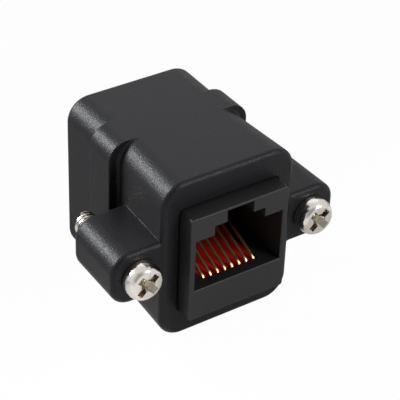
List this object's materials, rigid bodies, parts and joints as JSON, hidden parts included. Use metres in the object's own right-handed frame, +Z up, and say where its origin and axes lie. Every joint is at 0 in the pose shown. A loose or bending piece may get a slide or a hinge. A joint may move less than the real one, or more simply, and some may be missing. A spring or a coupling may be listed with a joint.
{
  "type": "panel-mount ethernet coupler",
  "caption": "Female-to-female network coupler for a panel: black moulded body with a screw ear each side, back-to-back modular sockets, gold spring contacts on red carriers",
  "frame": {"origin": "on the underside, below the middle of the circuit board, which is the middle of the part's length and width", "axes": "+Z up, the panel side faces -Y, the two screws lie apart along X"},
  "size_m": [0.031, 0.0254, 0.0216],
  "materials": {
    "body_plastic": "black, fine mould grain",
    "jack_plastic": "black, smooth satin",
    "carrier_plastic": "deep red, smooth",
    "board_laminate": "green solder mask",
    "contact_gold": "gold-plated spring strip",
    "screw_nickel": "bright nickel plate"
  },
  "bodies": {
    "root": {"moulded_body": "body_plastic", "front_jack": "jack_plastic", "rear_jack": "jack_plastic", "front_contact_carrier": "carrier_plastic", "rear_contact_carrier": "carrier_plastic", "circuit_board": "board_laminate", "mounting_screws": "screw_nickel", "front_contact_1": "contact_gold", "front_contact_2": "contact_gold", "front_contact_3": "contact_gold", "front_contact_4": "contact_gold", "front_contact_5": "contact_gold", "front_contact_6": "contact_gold", "front_contact_7": "contact_gold", "front_contact_8": "contact_gold", "rear_contact_1": "contact_gold", "rear_contact_2": "contact_gold", "rear_contact_3": "contact_gold", "rear_contact_4": "contact_gold", "rear_contact_5": "contact_gold", "rear_contact_6": "contact_gold", "rear_contact_7": "contact_gold", "rear_contact_8": "contact_gold"}
  },
  "joints": []
}
